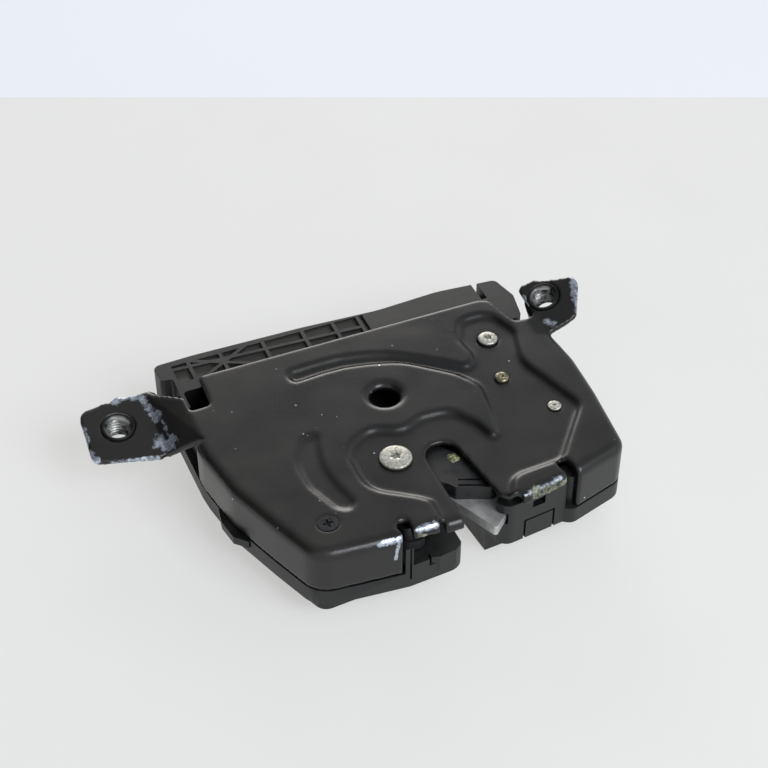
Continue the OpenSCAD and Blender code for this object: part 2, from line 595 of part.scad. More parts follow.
// A coil of round wire round a rivet, with a straight leg at each end
module coil(c, mean_r, wire, turns, low, a0, leg) {
    sides = 8;
    steps = 18;
    n = ceil(turns * steps);
    path = concat(
        [let(p = polar(c, mean_r, a0), t = turn([1, 0], a0 - 90)) [p.x + t.x * leg, p.y + t.y * leg, low]],
        [for (i = [0 : n]) let(p = polar(c, mean_r, a0 + 360 * turns * i / n))
            [p.x, p.y, low + (wire + 0.02) * turns * i / n]],
        [let(a = a0 + 360 * turns, p = polar(c, mean_r, a), t = turn([1, 0], a + 90))
            [p.x + t.x * leg, p.y + t.y * leg, low + (wire + 0.02) * turns]]);
    last = len(path) - 1;
    pts = [for (i = [0 : last]) let(d = unit(path[min(i + 1, last)] - path[max(i - 1, 0)]),
        o = unit(cross(d, [0, 0, 1])), u = cross(o, d))
        each [for (k = [0 : sides - 1]) let(a = 360 * k / sides)
            path[i] + wire / 2 * (cos(a) * o + sin(a) * u)]];
    polyhedron(pts, concat(
        [[for (k = [0 : sides - 1]) k]],
        [for (i = [0 : last - 1], k = [0 : sides - 1]) let(m = (k + 1) % sides)
            each [[i * sides + k, (i + 1) * sides + k, (i + 1) * sides + m],
                [i * sides + k, (i + 1) * sides + m, i * sides + m]]],
        [[for (k = [sides - 1 : -1 : 0]) last * sides + k]]));
}
module catch_spring() color("gray")
    coil(catch_c, catch_spring_r, spring_wire, 2.5, well_bottom + spring_wire / 2 + 0.05, 0, 0.5);
module pawl_spring() color("gray")
    coil(pawl_c, 4.2, 1.1, 3, steel_top + 0.95, 200, 6);

// Motor: flattened can, end cap and shaft, with the worm pressed on the shaft
module along_shaft(x) translate([x, worm_y, shaft_z]) rotate([0, 90, 0]) children();
module motor_body(x0, length) intersection() {
    along_shaft(x0) cylinder(r = motor_w / 2, h = length);
    block([x0 - 1, worm_y - motor_w, shaft_z - motor_h / 2], [x0 + length + 1, worm_y + motor_w,
        shaft_z + motor_h / 2]);
}
module motor_can() color("silver") difference() {
    union() {
        motor_body(motor_x0 + 2, motor_l - 2);
        along_shaft(motor_x1 - 1) cylinder(r = 3, h = 2.4);
    }
    along_shaft(motor_x0 - 5) cylinder(r = shaft_r + pivot_gap, h = 60);
}
module motor_cap() color("white") difference() {
    union() {
        motor_body(motor_x0, 2);
        along_shaft(motor_x0 - 1.2) cylinder(r = 3.4, h = 2);
    }
    along_shaft(motor_x0) cylinder(r = shaft_r + pivot_gap, h = 60);
}
worm_x0 = wheel_c.x - 6;
worm_l = 12;
module motor_shaft() color("silver")
    along_shaft(motor_x0 + 0.4) cylinder(r = shaft_r, h = bush_x + 3 - motor_x0 - 0.4);

// Worm: a single right-hand thread whose pitch is the wheel's
module worm() color("ivory") difference() {
    union() {
        along_shaft(worm_x0) cylinder(r = worm_r - 0.95, h = worm_l);
        worm_thread(tooth_m * PI);
    }
    along_shaft(worm_x0 - 1) cylinder(r = shaft_r, h = worm_l + 2);
}
module worm_thread(pitch) {
    steps = 16;
    turns = 3;
    n = turns * steps;
    root = worm_r - 1.15;
    crest = worm_r + 0.75;
    pts = [for (i = [0 : n]) let(a = 360 * i / steps, x = wheel_c.x + pitch * (i / steps - turns / 2),
        d = [0, cos(a + 180 * (turns % 2) + 180), sin(a + 180 * (turns % 2) + 180)], o = [x, worm_y, shaft_z])
        each [o + d * root + [-0.9, 0, 0], o + d * crest + [-0.3, 0, 0], o + d * crest + [0.3, 0, 0],
            o + d * root + [0.9, 0, 0]]];
    polyhedron(pts, concat([[3, 2, 1, 0]],
        [for (i = [0 : n - 1], k = [0 : 3]) let(m = (k + 1) % 4)
            each [[i * 4 + k, (i + 1) * 4 + m, (i + 1) * 4 + k], [i * 4 + k, i * 4 + m, (i + 1) * 4 + m]]],
        [[n * 4, n * 4 + 1, n * 4 + 2, n * 4 + 3]]));
}
module shaft_bush() color("ivory") difference() {
    along_shaft(bush_x) cylinder(r = bush_r, h = 3.2);
    along_shaft(bush_x - 1) cylinder(r = shaft_r + pivot_gap, h = 6);
}

// Wheel: straight teeth below, snail cam above
pitch_r = tooth_m * teeth / 2;
module toothed_rim() {
    a = 360 / teeth;
    root = pitch_r - 1.1 * tooth_m;
    tip = pitch_r + 0.8 * tooth_m;
    slab([for (i = [0 : teeth - 1]) let(m = 90 + (i + 0.5) * a)
        each [polar(wheel_c, root, m - 3.4), polar(wheel_c, tip, m - 1.5), polar(wheel_c, tip, m + 1.5),
            polar(wheel_c, root, m + 3.4)]], gear_bottom, cam_bottom);
}
function cam_point(b) =
    let(q = polar(pawl_c, pin_reach, pin_heading + b) - wheel_c, turned = (b - pawl_clear) / cam_ratio)
    polar(wheel_c, norm(q) - pin_r - gap - 0.08, heading(q) - turned);
module cam_wheel() color("ivory") difference() {
    union() {
        toothed_rim();
        slab([for (b = [pawl_clear + pawl_lift + 1 : -0.25 : -1]) cam_point(b)], cam_bottom - eps, cam_top);
        disc(wheel_c, norm(cam_point(-1) - wheel_c) - 0.05, cam_bottom - eps, cam_top);
    }
    disc(wheel_c, axle_r + pivot_gap, -60, 0);
}
module wheel_axle() color("silver") disc(wheel_c, axle_r, cover_floor, floor_top - 0.8);

// Switches: sealed bodies with a plunger each
module switch_body(lo, hi, mouth_lo, mouth_hi) difference() {
    block(lo, hi);
    block(mouth_lo, mouth_hi);
}
plunger_z = -3.8 - switch_size.z / 2;
module catch_switch() color("black") switch_body(
    [catch_switch_x - switch_size.x, catch_c.y - 3.2, -3.8 - switch_size.z],
    [catch_switch_x, catch_c.y + 3.2, -3.8],
    [catch_switch_x - 4.2, catch_c.y - 1.05, plunger_z - 0.85],
    [catch_switch_x + 1, catch_c.y + 1.05, plunger_z + 0.85]);
module catch_plunger() color("white")
    block([catch_switch_x - 2.6, catch_c.y - 1, plunger_z - 0.8],
        [catch_switch_x + plunger_reach, catch_c.y + 1, plunger_z + 0.8]);

pawl_switch_x = pawl_face_x - 4.6;
pawl_switch_z = steel_bottom + 1.7;
module pawl_switch() color("black") switch_body(
    [pawl_switch_x - switch_size.x, plunger_y - 3.2, floor_top + 0.02],
    [pawl_switch_x, plunger_y + 3.2, floor_top + 0.02 + switch_size.z],
    [pawl_switch_x - 4.2, plunger_y - 1.05, pawl_switch_z - 0.85],
    [pawl_switch_x + 1, plunger_y + 1.05, pawl_switch_z + 0.85]);
module pawl_plunger() color("white")
    block([pawl_switch_x - 2.6, plunger_y - 1, pawl_switch_z - 0.8],
        [pawl_rest_x - gap, plunger_y + 1, pawl_switch_z + 0.8]);
pawl_rest_x = pawl_c.x - ((pawl_c.x - pawl_face_x) + (plunger_y - pawl_c.y) * sin(pawl_clear)) /
    cos(pawl_clear) - 0.15;

// Rubber sleeve on the stay rivet that stops the pawl
module pawl_buffer() color("dimgray") difference() {
    disc(stay_c, 2.6, floor_top + 0.02, steel_top + 2);
    disc(stay_c, 1.6, -40, 0);
}

// Stamped contacts: pins in the socket and strips to the motor and the switches
pins_x = [for (i = [0 : 3]) socket_x0 + 3.4 + 4 * i];
module pins() for (x = pins_x) block([x - 0.4, 40, socket_z0 + 3.1], [x + 0.4, rear_y - 4, socket_z0 + 3.9]);
module strips() for (x = pins_x) block([x - 0.6, 33, socket_z0 + 3.9], [x + 0.6, 44, socket_z0 + 4.5]);
module connector_pins() color("gold") pins();
module contact_strips() color("gold") strips();

placed() lock_plate();
placed() weld_nut_left();
placed() weld_nut_right();
placed() catch_rivet();
placed() pawl_rivet();
placed() stay_rivet();
placed() guide_screw();
placed() plate_screw();
placed() housing();
placed() bottom_cover();
placed() cover_screws();
placed() catch_core();
placed() catch_jacket();
placed() pawl();
placed() release_pin();
placed() catch_spring();
placed() pawl_spring();
placed() motor_can();
placed() motor_cap();
placed() motor_shaft();
placed() worm();
placed() shaft_bush();
placed() cam_wheel();
placed() wheel_axle();
placed() catch_switch();
placed() catch_plunger();
placed() pawl_switch();
placed() pawl_plunger();
placed() pawl_buffer();
placed() connector_pins();
placed() contact_strips();
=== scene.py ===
"""Tailgate latch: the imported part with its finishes, its wear and its fine detail."""

import math
import random

import bmesh
import bpy
from mathutils import Matrix, Vector, noise


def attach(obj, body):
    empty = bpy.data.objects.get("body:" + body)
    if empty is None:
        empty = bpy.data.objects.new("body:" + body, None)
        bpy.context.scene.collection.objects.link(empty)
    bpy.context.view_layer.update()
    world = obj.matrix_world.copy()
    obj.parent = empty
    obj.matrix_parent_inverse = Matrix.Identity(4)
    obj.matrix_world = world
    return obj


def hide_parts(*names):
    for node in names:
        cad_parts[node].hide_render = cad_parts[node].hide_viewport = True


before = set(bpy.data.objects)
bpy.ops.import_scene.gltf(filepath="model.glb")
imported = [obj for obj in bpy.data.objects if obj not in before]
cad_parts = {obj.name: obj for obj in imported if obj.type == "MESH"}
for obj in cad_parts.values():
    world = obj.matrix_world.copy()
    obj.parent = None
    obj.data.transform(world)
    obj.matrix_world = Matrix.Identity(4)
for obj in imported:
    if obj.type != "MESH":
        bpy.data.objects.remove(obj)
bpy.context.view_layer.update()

# Places
# The drawing is in millimetres, with its origin on the plate's upper face. The row frame is
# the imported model's, in metres. This is the drawing's origin in it, in millimetres.
DRAWING = Vector((0.4048, -7.4541, 29.0))
CATCH_C = (-1.0, -11.0)
PAWL_C = (46.5, 26.5)
STAY_C = (51.7, -9.0)
GUIDE_SCREW_C = (42.7, 8.5)
GUIDE_C = (6.3, 14.3)
GUIDE_R = 4.5
SUNK_D = 1.5
SHEET_T = 2.0
JACKET_TOP = -3.9
# Each ear: its centre, and its turns about X and about Y in degrees
LEFT_EAR = ((-70.4, 38.2, -6.0), (11.0, 0.0))
RIGHT_EAR = ((69.2, 33.5, 3.5), (8.5, -19.3))
# The cells of the rear strip, in metres of the row frame
CELLS_X = (-0.04798, 0.01698)
CELLS_Y = (0.03876, 0.04730)
CELL_FLOOR = 0.0250
STRIP_TOP = 0.0264
# The catch's steel goes from dark to rubbed over this far either side of X = 0, in metres
RUBBED_FADE = 0.003
# Points nearer than this are one, in metres
WELD_REACH = 1e-6


def mm(x, y, z=0.0):
    """A point of the drawing, in the row frame."""
    return (Vector((x, y, z)) + DRAWING) / 1000


def tilted(centre, tilt):
    """Placement of an ear: turned about X, then about Y, then moved to its centre."""
    about_x = Matrix.Rotation(math.radians(tilt[0]), 4, "X")
    about_y = Matrix.Rotation(math.radians(tilt[1]), 4, "Y")
    return Matrix.Translation(mm(*centre)) @ (about_y @ about_x)


# Finishes
COLOURS = {"data_type": "RGBA"}
MULTIPLY = {"operation": "MULTIPLY"}
MULTIPLY_ADD = {"operation": "MULTIPLY_ADD"}
MAXIMUM = {"operation": "MAXIMUM"}
DOT_PRODUCT = {"operation": "DOT_PRODUCT"}


def srgb(code):
    """A colour written as sRGB hex, as the linear value that a shader takes."""
    parts = [int(code[i : i + 2], 16) / 255 for i in (1, 3, 5)]
    return tuple(c / 12.92 if c <= 0.04045 else ((c + 0.055) / 1.055) ** 2.4 for c in parts) + (1.0,)


def add(tree, kind, settings=None, **sockets):
    """Adds a node. A socket takes a value, or the socket of another node to link from."""
    made = tree.nodes.new("ShaderNode" + kind)
    for key, value in (settings or {}).items():
        setattr(made, key, value)
    for key, value in sockets.items():
        name = key.replace("_", " ")
        socket = made.inputs[int(key[1:])] if key[1:].isdigit() else made.inputs[name]
        if isinstance(value, bpy.types.NodeSocket):
            tree.links.new(value, socket)
        else:
            socket.default_value = value
    return made


def finish(name, colour, roughness, metallic=0.0):
    """A material, its node tree, its shader and its coordinates in metres."""
    made = bpy.data.materials.new(name)
    made.use_nodes = True
    tree = made.node_tree
    shader = tree.nodes["Principled BSDF"]
    shader.inputs["Base Color"].default_value = srgb(colour)
    shader.inputs["Roughness"].default_value = roughness
    shader.inputs["Metallic"].default_value = metallic
    place = add(tree, "TexCoord").outputs["Object"]
    return made, tree, shader, place


def grain(size_mm):
    """Texture scale for a grain of that size."""
    return 1000.0 / size_mm


def settled(tree, film):
    """Dust film that lies on faces that look up and hardly on upright ones."""
    up = add(tree, "SeparateXYZ", Vector=add(tree, "NewGeometry").outputs["Normal"]).outputs["Z"]
    share = add(tree, "MapRange", Value=up, From_Min=0.2, From_Max=0.9, To_Min=0.15).outputs[0]
    return add(tree, "Math", MULTIPLY, i0=film, i1=share).outputs[0]


# Black electro-dipped steel sheet, pressed and then painted: semi-gloss with a fine orange peel.
# It is worn to bright steel by the wear mark, which also paints highlights on some rounded edges
# as bright steel, stained by a grey-green deposit by the stain mark, dusty by the dust mark, which
# also paints a reflection of the table on the left flange, and it has small chips all over.
def electro_dipped_sheet():
    coat = "#0e0e0f"
    made, tree, shader, where = finish("painted_sheet", coat, 0.3)
    wear_and_highlight = add(tree, "Attribute", {"attribute_name": "wear_and_highlight"}).outputs["Fac"]
    stained = add(tree, "Attribute", {"attribute_name": "stained"}).outputs["Fac"]
    dust_and_reflection_mark = add(tree, "Attribute", {"attribute_name": "dust_and_reflection_mark"}).outputs["Fac"]
    flakes = add(tree, "TexNoise", Vector=where, Scale=grain(2.6), Detail=5.0, Roughness=0.6).outputs["Fac"]
    fine = add(tree, "TexNoise", Vector=where, Scale=grain(0.7), Detail=3.0, Roughness=0.6).outputs["Fac"]
    broad = add(tree, "TexNoise", Vector=where, Scale=grain(26), Detail=4.0, Roughness=0.6).outputs["Fac"]
    apart = add(tree, "TexVoronoi", Vector=where, Scale=grain(8)).outputs["Distance"]
    chips = {"From_Min": 0.025, "From_Max": 0.045, "To_Min": 1.0, "To_Max": 0.0}
    chips = add(tree, "MapRange", Value=apart, **chips).outputs[0]

    # Where the paint is gone, by wear that follows the flakes and by the chips; the same mask paints
    # highlights on some rounded edges as bare steel
    bare_and_highlit = add(tree, "Math", MULTIPLY_ADD, i0=flakes, i1=1.1, i2=wear_and_highlight).outputs[0]
    bare_and_highlit = add(tree, "MapRange", Value=bare_and_highlit, From_Min=1.06, From_Max=1.30).outputs[0]
    bare_and_highlit = add(tree, "Math", MAXIMUM, i0=bare_and_highlit, i1=chips).outputs[0]
    stain = add(tree, "Math", MULTIPLY_ADD, i0=fine, i1=0.8, i2=stained).outputs[0]
    stain = add(tree, "MapRange", Value=stain, From_Min=0.8, From_Max=0.95).outputs[0]

    # Paint under dust and a painted reflection, then bare steel and painted highlights, then the stain
    film = add(tree, "MapRange", Value=broad, From_Min=0.35, From_Max=0.75, To_Max=0.035).outputs[0]
    film = settled(tree, film)
    # The dust mark adds a brownish dust tone; on the left flange it is a painted reflection of the table
    film = add(tree, "Math", MULTIPLY_ADD, i0=dust_and_reflection_mark, i1=fine, i2=film).outputs[0]
    dust_and_reflection_tone = add(tree, "Mix", COLOURS, i0=film, i6=srgb(coat), i7=srgb("#877f6d")).outputs[2]
    # Bare steel: for worn paint, and for the painted highlights on rounded edges
    steel = add(tree, "MapRange", Value=fine, From_Min=0.3, From_Max=0.6).outputs[0]
    steel = add(tree, "Mix", COLOURS, i0=steel, i6=srgb("#6d747d"), i7=srgb("#ccd5e1")).outputs[2]
    tone = add(tree, "Mix", COLOURS, i0=bare_and_highlit, i6=dust_and_reflection_tone, i7=steel).outputs[2]
    deposit = add(tree, "MapRange", Value=flakes, From_Min=0.4, From_Max=0.6).outputs[0]
    deposit = add(tree, "Mix", COLOURS, i0=deposit, i6=srgb("#34372a"), i7=srgb("#93977f")).outputs[2]
    tone = add(tree, "Mix", COLOURS, i0=stain, i6=tone, i7=deposit).outputs[2]
    tree.links.new(tone, shader.inputs["Base Color"])

    metal = add(tree, "Math", {"operation": "SUBTRACT", "use_clamp": True}, i0=bare_and_highlit, i1=stain).outputs[0]
    metal = add(tree, "Math", MULTIPLY, i0=metal, i1=0.8).outputs[0]
    tree.links.new(metal, shader.inputs["Metallic"])
    gloss = {"From_Min": 0.3, "From_Max": 0.7, "To_Min": 0.26, "To_Max": 0.34}
    rough = add(tree, "MapRange", Value=broad, **gloss).outputs[0]
    rough = add(tree, "Mix", {"data_type": "FLOAT"}, i0=stain, i2=rough, i3=0.75).outputs[0]
    tree.links.new(rough, shader.inputs["Roughness"])
    peel = add(tree, "TexNoise", Vector=where, Scale=grain(1.1), Detail=2.0).outputs["Fac"]
    peel = add(tree, "Math", MULTIPLY_ADD, i0=bare_and_highlit, i1=-0.8, i2=peel).outputs[0]
    relief = add(tree, "Bump", Height=peel, Distance=0.00004, Strength=0.6).outputs[0]
    tree.links.new(relief, shader.inputs["Normal"])
    return made


# Steel weld nuts that went through the paint bath: dark, and bright in spots of the thread,
# where a bolt rubbed. "bore" says where the thread is.
def bath_painted_nut():
    made, tree, shader, where = finish("nut_steel", "#2a2b2e", 0.36, 0.5)
    spots = add(tree, "TexNoise", Vector=where, Scale=grain(3), Detail=4.0).outputs["Fac"]
    bore = add(tree, "Attribute", {"attribute_name": "bore"}).outputs["Fac"]
    tone = add(tree, "MapRange", Value=spots, From_Min=0.4, From_Max=0.6).outputs[0]
    tone = add(tree, "Math", MULTIPLY, i0=tone, i1=bore).outputs[0]
    tone = add(tree, "Mix", COLOURS, i0=tone, i6=srgb("#1c1d1f"), i7=srgb("#a2a39e")).outputs[2]
    tree.links.new(tone, shader.inputs["Base Color"])
    return made


# Galvanised steel, peened at the rivets' heads: pale grey, slightly mottled and satin, darkened with
# painted shade round the foot of each head and in its recess.
def galvanised_steel():
    made, tree, shader, where = finish("rivet_steel", "#d0cfc6", 0.42, 0.6)
    spots = add(tree, "TexNoise", Vector=where, Scale=grain(0.8), Detail=5.0, Roughness=0.7).outputs["Fac"]
    tone = add(tree, "MapRange", Value=spots, From_Min=0.35, From_Max=0.6).outputs[0]
    tone = add(tree, "Mix", COLOURS, i0=tone, i6=srgb("#8f8e82"), i7=srgb("#d9d7cc")).outputs[2]
    # Painted shade: darker round the foot of the head and in its recess
    painted_shade = add(tree, "Attribute", {"attribute_name": "painted_shade"}).outputs["Fac"]
    tone = add(tree, "Mix", COLOURS, i0=painted_shade, i6=tone, i7=srgb("#2b2a26")).outputs[2]
    tree.links.new(tone, shader.inputs["Base Color"])
    relief = add(tree, "Bump", Height=spots, Distance=0.0001, Strength=0.5).outputs[0]
    tree.links.new(relief, shader.inputs["Normal"])
    return made


# Black-oxided screw steel: dark grey metal, unevenly blackened and a little oily.
def black_oxided_steel():
    made, tree, shader, where = finish("black_screw", "#2a2b2d", 0.34, 0.6)
    spots = add(tree, "TexNoise", Vector=where, Scale=grain(0.6), Detail=3.0).outputs["Fac"]
    tone = add(tree, "MapRange", Value=spots, From_Min=0.35, From_Max=0.65).outputs[0]
    tone = add(tree, "Mix", COLOURS, i0=tone, i6=srgb("#202123"), i7=srgb("#3a3b3d")).outputs[2]
    tree.links.new(tone, shader.inputs["Base Color"])
    rough = add(tree, "MapRange", Value=spots, To_Min=0.26, To_Max=0.5).outputs[0]
    tree.links.new(rough, shader.inputs["Roughness"])
    return made


# Yellow-passivated steel, aged: a dull brownish yellow metal, darker in cloudy spots.
def yellow_passivated_steel():
    made, tree, shader, where = finish("passivated_steel", "#7d7963", 0.38, 0.8)
    spots = add(tree, "TexNoise", Vector=where, Scale=grain(0.9), Detail=4.0).outputs["Fac"]
    tone = add(tree, "MapRange", Value=spots, From_Min=0.35, From_Max=0.65).outputs[0]
    tone = add(tree, "Mix", COLOURS, i0=tone, i6=srgb("#57533f"), i7=srgb("#a39e82")).outputs[2]
    tree.links.new(tone, shader.inputs["Base Color"])
    return made


# Glass-filled polyamide, moulded with a spark-eroded grain: dull black with a grey film, and
# dust in the shallow cells of the rear strip. The grain is really finer than half a
# millimetre, and is drawn that coarse so that it shows.
def moulded_polyamide():
    base = "#101112"
    made, tree, shader, where = finish("black_moulding", base, 0.42)
    pores = add(tree, "TexNoise", Vector=where, Scale=grain(0.5), Detail=3.0, Roughness=0.6).outputs["Fac"]
    cloud = add(tree, "TexNoise", Vector=where, Scale=grain(14), Detail=5.0, Roughness=0.6).outputs["Fac"]
    film = add(tree, "MapRange", Value=cloud, From_Min=0.4, From_Max=0.7, To_Max=0.09).outputs[0]
    film = settled(tree, film)

    axes = add(tree, "SeparateXYZ", Vector=where).outputs
    in_cells = 1.0
    for axis, kind, edge in (
        ("X", "GREATER_THAN", CELLS_X[0]),
        ("X", "LESS_THAN", CELLS_X[1]),
        ("Y", "GREATER_THAN", CELLS_Y[0]),
        ("Y", "LESS_THAN", CELLS_Y[1]),
        ("Z", "GREATER_THAN", CELL_FLOOR - 0.0004),
    ):
        inside = add(tree, "Math", {"operation": kind}, i0=axes[axis], i1=edge).outputs[0]
        in_cells = add(tree, "Math", MULTIPLY, i0=inside, i1=in_cells).outputs[0]
    low = {"From_Min": CELL_FLOOR + 0.0002, "From_Max": STRIP_TOP - 0.0002, "To_Min": 1.0, "To_Max": 0.0}
    low = add(tree, "MapRange", Value=axes["Z"], **low).outputs[0]
    floors = add(tree, "Math", MULTIPLY, i0=in_cells, i1=low).outputs[0]
    film = add(tree, "Math", MULTIPLY_ADD, i0=floors, i1=0.22, i2=film).outputs[0]
    tone = add(tree, "Mix", COLOURS, i0=film, i6=srgb(base), i7=srgb("#7c7870")).outputs[2]
    tree.links.new(tone, shader.inputs["Base Color"])

    gloss = {"From_Min": 0.3, "From_Max": 0.7, "To_Min": 0.36, "To_Max": 0.52}
    rough = add(tree, "MapRange", Value=cloud, **gloss).outputs[0]
    tree.links.new(rough, shader.inputs["Roughness"])
    relief = add(tree, "Bump", Height=pores, Distance=0.00005, Strength=0.5).outputs[0]
    tree.links.new(relief, shader.inputs["Normal"])
    return made


# Phosphated steel, blanked and sanded: dark grey, rubbed light and satin on the catch's arm and
# on the pawl, with sanding lines. Real ones are finer, and are drawn this coarse to show.
def phosphated_steel():
    made, tree, shader, where = finish("catch_steel", "#b5b6b3", 0.42, 0.7)
    lines = add(tree, "Mapping", Vector=where, Scale=(1.0, 0.08, 1.0)).outputs[0]
    lines = add(tree, "TexNoise", Vector=lines, Scale=grain(0.4), Detail=3.0).outputs["Fac"]
    spots = add(tree, "TexNoise", Vector=where, Scale=grain(3), Detail=4.0).outputs["Fac"]
    tone = add(tree, "MapRange", Value=spots, From_Min=0.3, From_Max=0.7).outputs[0]
    tone = add(tree, "Mix", COLOURS, i0=tone, i6=srgb("#a9aaa7"), i7=srgb("#cdcecc")).outputs[2]
    along = add(tree, "SeparateXYZ", Vector=where).outputs["X"]
    rubbed = add(tree, "MapRange", Value=along, From_Min=-RUBBED_FADE, From_Max=RUBBED_FADE).outputs[0]
    tone = add(tree, "Mix", COLOURS, i0=rubbed, i6=srgb("#3a3b3d"), i7=tone).outputs[2]
    tree.links.new(tone, shader.inputs["Base Color"])
    relief = add(tree, "Bump", Height=lines, Distance=0.00003, Strength=0.4).outputs[0]
    tree.links.new(relief, shader.inputs["Normal"])
    return made


# Polyester elastomer moulded round the catch: smooth and dark with a cool sheen and a smear of
# grease.
def moulded_elastomer():
    base = "#121316"
    made, tree, shader, where = finish("jacket_plastic", base, 0.34)
    smear = add(tree, "TexNoise", Vector=where, Scale=grain(4), Detail=5.0, Roughness=0.7).outputs["Fac"]
    gloss = {"From_Min": 0.3, "From_Max": 0.7, "To_Min": 0.24, "To_Max": 0.5}
    rough = add(tree, "MapRange", Value=smear, **gloss).outputs[0]
    tree.links.new(rough, shader.inputs["Roughness"])
    film = add(tree, "MapRange", Value=smear, From_Min=0.45, From_Max=0.75, To_Max=0.12).outputs[0]
    tone = add(tree, "Mix", COLOURS, i0=film, i6=srgb(base), i7=srgb("#5d5c4a")).outputs[2]
    tree.links.new(tone, shader.inputs["Base Color"])
    return made


# Oil-tempered spring wire: brown-grey and satin, darker where the temper scale holds.
def oil_tempered_wire():
    made, tree, shader, where = finish("spring_steel", "#5e5d5b", 0.35, 1.0)
    spots = add(tree, "TexNoise", Vector=where, Scale=grain(1.2), Detail=3.0).outputs["Fac"]
    tone = add(tree, "MapRange", Value=spots, From_Min=0.35, From_Max=0.65).outputs[0]
    tone = add(tree, "Mix", COLOURS, i0=tone, i6=srgb("#4c4a47"), i7=srgb("#73726f")).outputs[2]
    tree.links.new(tone, shader.inputs["Base Color"])
    rough = add(tree, "MapRange", Value=spots, To_Min=0.28, To_Max=0.48).outputs[0]
    tree.links.new(rough, shader.inputs["Roughness"])
    return made


# Moulded acetal, for gears, buttons, bush and motor cap: off-white and slightly waxy.
def moulded_acetal():
    made, tree, shader, where = finish("white_moulding", "#d9d6cb", 0.38)
    cloud = add(tree, "TexNoise", Vector=where, Scale=grain(5), Detail=3.0).outputs["Fac"]
    tone = add(tree, "Mix", COLOURS, i0=cloud, i6=srgb("#cfcbbd"), i7=srgb("#e2e0d8")).outputs[2]
    tree.links.new(tone, shader.inputs["Base Color"])
    return made


# Moulded stop rubber: black and matt with a dusty bloom.
def moulded_rubber():
    made, tree, shader, where = finish("buffer_rubber", "#232324", 0.8)
    cloud = add(tree, "TexNoise", Vector=where, Scale=grain(1.5), Detail=3.0).outputs["Fac"]
    tone = add(tree, "Mix", COLOURS, i0=cloud, i6=srgb("#1b1b1c"), i7=srgb("#333334")).outputs[2]
    tree.links.new(tone, shader.inputs["Base Color"])
    return made


# Stamped and thinly tinned brass: pale yellow, bright metal.
def tinned_brass():
    made, tree, shader, where = finish("contact_brass", "#c8b37a", 0.28, 1.0)
    spots = add(tree, "TexNoise", Vector=where, Scale=grain(1.0), Detail=3.0).outputs["Fac"]
    tone = add(tree, "Mix", COLOURS, i0=spots, i6=srgb("#bda76a"), i7=srgb("#d9cda6")).outputs[2]
    tree.links.new(tone, shader.inputs["Base Color"])
    return made


# Lithium grease, aged: greenish yellow, wet and lumpy.
def aged_grease():
    made, tree, shader, where = finish("grease", "#7d825a", 0.24)
    lumps = add(tree, "TexNoise", Vector=where, Scale=grain(0.8), Detail=4.0).outputs["Fac"]
    tone = add(tree, "MapRange", Value=lumps, From_Min=0.35, From_Max=0.65).outputs[0]
    tone = add(tree, "Mix", COLOURS, i0=tone, i6=srgb("#4a4d33"), i7=srgb("#a0a574")).outputs[2]
    tree.links.new(tone, shader.inputs["Base Color"])
    relief = add(tree, "Bump", Height=lumps, Distance=0.0002, Strength=0.8).outputs[0]
    tree.links.new(relief, shader.inputs["Normal"])
    return made


painted_sheet = electro_dipped_sheet()
nut_steel = bath_painted_nut()
rivet_steel = galvanised_steel()
black_screw = black_oxided_steel()
passivated_steel = yellow_passivated_steel()
black_moulding = moulded_polyamide()
catch_steel = phosphated_steel()
jacket_plastic = moulded_elastomer()
spring_steel = oil_tempered_wire()
white_moulding = moulded_acetal()
buffer_rubber = moulded_rubber()
contact_brass = tinned_brass()
grease = aged_grease()
FINISHES = [
    (painted_sheet, ["lock_plate"]),
    (nut_steel, ["weld_nut_left", "weld_nut_right"]),
    (rivet_steel, ["catch_rivet", "pawl_rivet", "stay_rivet", "cover_screws"]),
    (rivet_steel, ["motor_can", "motor_shaft", "wheel_axle"]),
    (black_screw, ["plate_screw", "release_pin"]),
    (passivated_steel, ["guide_screw"]),
    (black_moulding, ["housing", "bottom_cover", "catch_switch", "pawl_switch"]),
    (catch_steel, ["catch_core", "pawl"]),
    (jacket_plastic, ["catch_jacket"]),
    (spring_steel, ["catch_spring", "pawl_spring"]),
    (white_moulding, ["motor_cap", "worm", "shaft_bush", "cam_wheel", "catch_plunger", "pawl_plunger"]),
    (buffer_rubber, ["pawl_buffer"]),
    (contact_brass, ["connector_pins", "contact_strips"]),
]
for material, names in FINISHES:
    for name in names:
        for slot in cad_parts[name].material_slots:
            slot.material = material


# Pieces
def piece(name, mesh, material, body, node=None):
    """Puts a mesh in the scene as a smooth piece that rides on a body."""
    made = bpy.data.objects.new(name, mesh)
    bpy.context.scene.collection.objects.link(made)
    mesh.materials.clear()
    mesh.materials.append(material)
    mesh.polygons.foreach_set("use_smooth", [True] * len(mesh.polygons))
    if node:
        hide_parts(node)
    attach(made, body)
    return made


def applied(made):
    """The mesh of an object with its modifiers applied. The object goes."""
    bpy.context.view_layer.update()
    shown = made.evaluated_get(bpy.context.evaluated_depsgraph_get())
    mesh = bpy.data.meshes.new_from_object(shown)
    bpy.data.objects.remove(made)
    return mesh


def mark(mesh, name, values):
    """Writes one value for each point of a mesh, for its material to read."""
    mesh.attributes.new(name, "FLOAT", "POINT").data.foreach_set("value", values)


